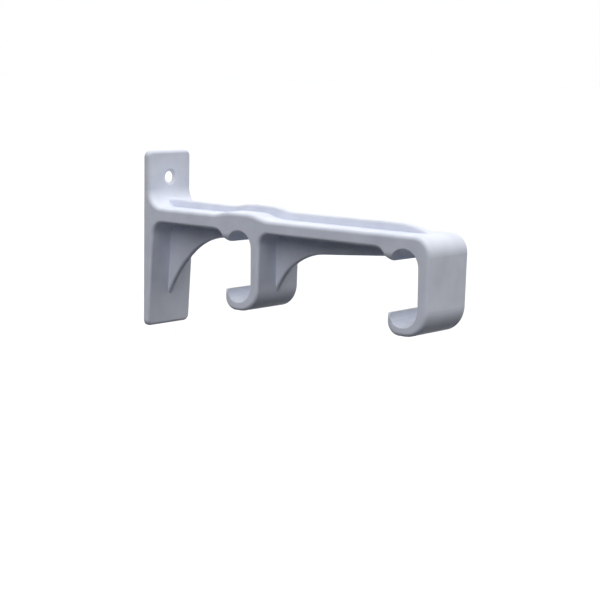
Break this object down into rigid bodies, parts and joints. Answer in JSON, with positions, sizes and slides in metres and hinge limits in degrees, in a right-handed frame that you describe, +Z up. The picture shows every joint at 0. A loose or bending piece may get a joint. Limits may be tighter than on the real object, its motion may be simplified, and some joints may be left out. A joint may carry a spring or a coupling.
{
  "type": "double curtain track bracket",
  "caption": "Moulded wall bracket with a tall mounting plate, a ribbed arm and two open hooks that carry curtain tracks side by side.",
  "frame": {"origin": "middle of the wall plate's back face", "axes": "+X out from the wall along the arm, +Y along the curtain track, +Z up"},
  "size_m": [0.1548, 0.0262, 0.0778],
  "materials": {
    "moulded_plastic": "satin"
  },
  "bodies": {
    "root": {"track_bracket": "moulded_plastic"}
  },
  "joints": []
}
